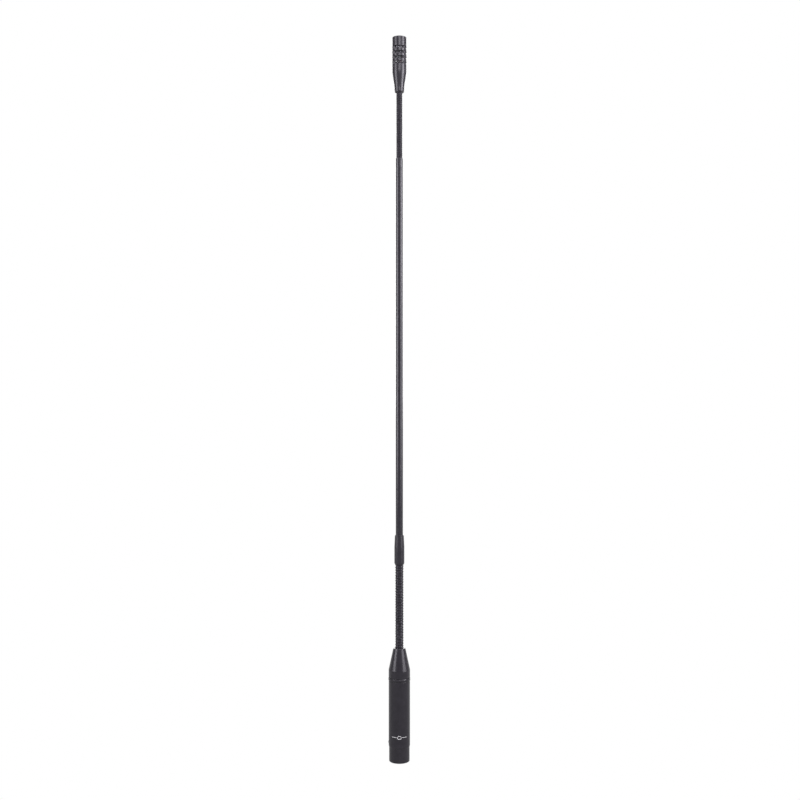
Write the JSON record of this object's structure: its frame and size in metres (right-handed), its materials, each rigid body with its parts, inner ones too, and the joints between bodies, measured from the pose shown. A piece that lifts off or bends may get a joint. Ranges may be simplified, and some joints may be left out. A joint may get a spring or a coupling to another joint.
{
  "type": "gooseneck podium microphone",
  "caption": "Slim podium microphone on a three-pin plug: a tubular housing, flexible necks below and above a rigid stem, and a slotted head that can be bent to face a speaker.",
  "frame": {"origin": "centre of the plug's open rim, which is the lowest point of the microphone", "axes": "+Z along the microphone from the plug to the head, -Y the side that carries the printed mark, +X to the right as seen from that side"},
  "size_m": [0.0204, 0.0204, 0.6723],
  "materials": {
    "satin_black": "satin black enamel on turned brass",
    "stem_black": "smooth semi-gloss black enamel on steel tube",
    "neck_black": "black oxide on the neck's wound wires",
    "pin_metal": "bright nickel plate",
    "bright_brass": "plain turned brass",
    "insert_plastic": "matt black moulded plastic",
    "board_green": "green solder resist on glass fibre",
    "capacitor_sleeve": "dark blue shrink sleeve",
    "lead_white": "white wire insulation",
    "lead_red": "red wire insulation",
    "cable_grey": "dark grey cable jacket",
    "capsule_can": "plain aluminium can",
    "gasket_rubber": "soft black rubber",
    "mesh_dark": "blackened fine steel gauze",
    "foam_dark": "black open-cell foam"
  },
  "bodies": {
    "housing": {"body_tube": "satin_black", "xlr_insert": "insert_plastic", "xlr_pin_1": "pin_metal", "xlr_pin_2": "pin_metal", "xlr_pin_3": "pin_metal", "earth_contact": "pin_metal", "insert_screw": "satin_black", "trim_ring": "satin_black", "cone": "satin_black", "neck_lock_ring": "bright_brass", "lower_neck_bottom_ferrule": "neck_black", "preamp_board": "board_green", "coupling_capacitor_1": "capacitor_sleeve", "coupling_capacitor_2": "capacitor_sleeve", "output_transistor_1": "insert_plastic", "output_transistor_2": "insert_plastic", "pin_lead_1": "lead_white", "pin_lead_2": "lead_red", "pin_lead_3": "cable_grey", "cable_in_housing": "cable_grey"},
    "lower_link_1": {"lower_neck_link_1": "neck_black"},
    "lower_link_2": {"lower_neck_link_2": "neck_black"},
    "lower_link_3": {"lower_neck_link_3": "neck_black"},
    "lower_link_4": {"lower_neck_link_4": "neck_black"},
    "lower_link_5": {"lower_neck_link_5": "neck_black"},
    "lower_link_6": {"lower_neck_link_6": "neck_black", "cable_in_lower_neck": "cable_grey"},
    "lower_link_7": {"lower_neck_link_7": "neck_black"},
    "lower_link_8": {"lower_neck_link_8": "neck_black"},
    "lower_link_9": {"lower_neck_link_9": "neck_black"},
    "lower_link_10": {"lower_neck_link_10": "neck_black"},
    "lower_link_11": {"lower_neck_link_11": "neck_black"},
    "stem": {"lower_neck_top_ferrule": "neck_black", "coupler": "satin_black", "stem_tube": "stem_black", "upper_neck_bottom_ferrule": "neck_black", "cable_in_stem": "cable_grey"},
    "upper_link_1": {"upper_neck_link_1": "neck_black"},
    "upper_link_2": {"upper_neck_link_2": "neck_black"},
    "upper_link_3": {"upper_neck_link_3": "neck_black"},
    "upper_link_4": {"upper_neck_link_4": "neck_black"},
    "upper_link_5": {"upper_neck_link_5": "neck_black", "cable_in_upper_neck": "cable_grey"},
    "upper_link_6": {"upper_neck_link_6": "neck_black"},
    "upper_link_7": {"upper_neck_link_7": "neck_black"},
    "upper_link_8": {"upper_neck_link_8": "neck_black"},
    "upper_link_9": {"upper_neck_link_9": "neck_black"},
    "head": {"upper_neck_top_ferrule": "neck_black", "head_housing": "satin_black", "slot_mesh": "mesh_dark", "capsule": "capsule_can", "capsule_gasket": "gasket_rubber", "capsule_board": "board_green", "capsule_lead_1": "lead_white", "capsule_lead_2": "lead_red", "wind_foam": "foam_dark", "front_grille": "mesh_dark", "grille_ring": "satin_black", "cable_in_head": "cable_grey"}
  },
  "joints": [
    {"name": "lower_sway_1", "type": "hinge", "parent": "housing", "child": "lower_link_1", "pos_m": [0, 0, 0.1064], "axis": [-0.0003, 1, 0], "range_deg": [-12.5, 12.5], "deforming": ["cable_in_lower_neck"]},
    {"name": "lower_nod_1", "type": "hinge", "parent": "lower_link_1", "child": "lower_link_2", "pos_m": [0, 0, 0.11318], "axis": [1, 0.0003, 0], "range_deg": [-12.5, 12.5]},
    {"name": "lower_sway_2", "type": "hinge", "parent": "lower_link_2", "child": "lower_link_3", "pos_m": [0, 0, 0.11996], "axis": [-0.0003, 1, 0], "range_deg": [-12.5, 12.5]},
    {"name": "lower_nod_2", "type": "hinge", "parent": "lower_link_3", "child": "lower_link_4", "pos_m": [0, 0, 0.12674], "axis": [1, 0.0003, 0], "range_deg": [-12.5, 12.5]},
    {"name": "lower_sway_3", "type": "hinge", "parent": "lower_link_4", "child": "lower_link_5", "pos_m": [0, 0, 0.13353], "axis": [-0.0003, 1, 0], "range_deg": [-12.5, 12.5]},
    {"name": "lower_nod_3", "type": "hinge", "parent": "lower_link_5", "child": "lower_link_6", "pos_m": [0, 0, 0.14031], "axis": [1, 0.0003, 0], "range_deg": [-12.5, 12.5]},
    {"name": "lower_sway_4", "type": "hinge", "parent": "lower_link_6", "child": "lower_link_7", "pos_m": [0, 0, 0.14709], "axis": [-0.0003, 1, 0], "range_deg": [-12.5, 12.5]},
    {"name": "lower_nod_4", "type": "hinge", "parent": "lower_link_7", "child": "lower_link_8", "pos_m": [0, 0, 0.15387], "axis": [1, 0.0003, 0], "range_deg": [-12.5, 12.5]},
    {"name": "lower_sway_5", "type": "hinge", "parent": "lower_link_8", "child": "lower_link_9", "pos_m": [0, 0, 0.16065], "axis": [-0.0003, 1, 0], "range_deg": [-12.5, 12.5]},
    {"name": "lower_nod_5", "type": "hinge", "parent": "lower_link_9", "child": "lower_link_10", "pos_m": [0, 0, 0.16744], "axis": [1, 0.0003, 0], "range_deg": [-12.5, 12.5]},
    {"name": "lower_sway_6", "type": "hinge", "parent": "lower_link_10", "child": "lower_link_11", "pos_m": [0, 0, 0.17422], "axis": [-0.0003, 1, 0], "range_deg": [-12.5, 12.5]},
    {"name": "lower_nod_6", "type": "hinge", "parent": "lower_link_11", "child": "stem", "pos_m": [0, 0, 0.181], "axis": [1, 0.0003, 0], "range_deg": [-12.5, 12.5]},
    {"name": "upper_sway_1", "type": "hinge", "parent": "stem", "child": "upper_link_1", "pos_m": [0, 0, 0.5614], "axis": [-0.0003, 1, 0], "range_deg": [-15, 15], "deforming": ["cable_in_upper_neck"]},
    {"name": "upper_nod_1", "type": "hinge", "parent": "upper_link_1", "child": "upper_link_2", "pos_m": [0, 0, 0.56791], "axis": [1, 0.0003, 0], "range_deg": [-15, 15]},
    {"name": "upper_sway_2", "type": "hinge", "parent": "upper_link_2", "child": "upper_link_3", "pos_m": [0, 0, 0.57442], "axis": [-0.0003, 1, 0], "range_deg": [-15, 15]},
    {"name": "upper_nod_2", "type": "hinge", "parent": "upper_link_3", "child": "upper_link_4", "pos_m": [0, 0, 0.58093], "axis": [1, 0.0003, 0], "range_deg": [-15, 15]},
    {"name": "upper_sway_3", "type": "hinge", "parent": "upper_link_4", "child": "upper_link_5", "pos_m": [0, 0, 0.58744], "axis": [-0.0003, 1, 0], "range_deg": [-15, 15]},
    {"name": "upper_nod_3", "type": "hinge", "parent": "upper_link_5", "child": "upper_link_6", "pos_m": [0, 0, 0.59396], "axis": [1, 0.0003, 0], "range_deg": [-15, 15]},
    {"name": "upper_sway_4", "type": "hinge", "parent": "upper_link_6", "child": "upper_link_7", "pos_m": [0, 0, 0.60047], "axis": [-0.0003, 1, 0], "range_deg": [-15, 15]},
    {"name": "upper_nod_4", "type": "hinge", "parent": "upper_link_7", "child": "upper_link_8", "pos_m": [0, 0, 0.60698], "axis": [1, 0.0003, 0], "range_deg": [-15, 15]},
    {"name": "upper_sway_5", "type": "hinge", "parent": "upper_link_8", "child": "upper_link_9", "pos_m": [0, 0, 0.61349], "axis": [-0.0003, 1, 0], "range_deg": [-15, 15]},
    {"name": "upper_nod_5", "type": "hinge", "parent": "upper_link_9", "child": "head", "pos_m": [0, 0, 0.62], "axis": [1, 0.0003, 0], "range_deg": [-15, 15]}
  ],
  "couplings": [
    {"joint": "lower_sway_2", "follows": "lower_sway_1", "ratio": 1},
    {"joint": "lower_nod_2", "follows": "lower_nod_1", "ratio": 1},
    {"joint": "lower_sway_3", "follows": "lower_sway_1", "ratio": 1},
    {"joint": "lower_nod_3", "follows": "lower_nod_1", "ratio": 1},
    {"joint": "lower_sway_4", "follows": "lower_sway_1", "ratio": 1},
    {"joint": "lower_nod_4", "follows": "lower_nod_1", "ratio": 1},
    {"joint": "lower_sway_5", "follows": "lower_sway_1", "ratio": 1},
    {"joint": "lower_nod_5", "follows": "lower_nod_1", "ratio": 1},
    {"joint": "lower_sway_6", "follows": "lower_sway_1", "ratio": 1},
    {"joint": "lower_nod_6", "follows": "lower_nod_1", "ratio": 1},
    {"joint": "upper_sway_2", "follows": "upper_sway_1", "ratio": 1},
    {"joint": "upper_nod_2", "follows": "upper_nod_1", "ratio": 1},
    {"joint": "upper_sway_3", "follows": "upper_sway_1", "ratio": 1},
    {"joint": "upper_nod_3", "follows": "upper_nod_1", "ratio": 1},
    {"joint": "upper_sway_4", "follows": "upper_sway_1", "ratio": 1},
    {"joint": "upper_nod_4", "follows": "upper_nod_1", "ratio": 1},
    {"joint": "upper_sway_5", "follows": "upper_sway_1", "ratio": 1},
    {"joint": "upper_nod_5", "follows": "upper_nod_1", "ratio": 1}
  ]
}
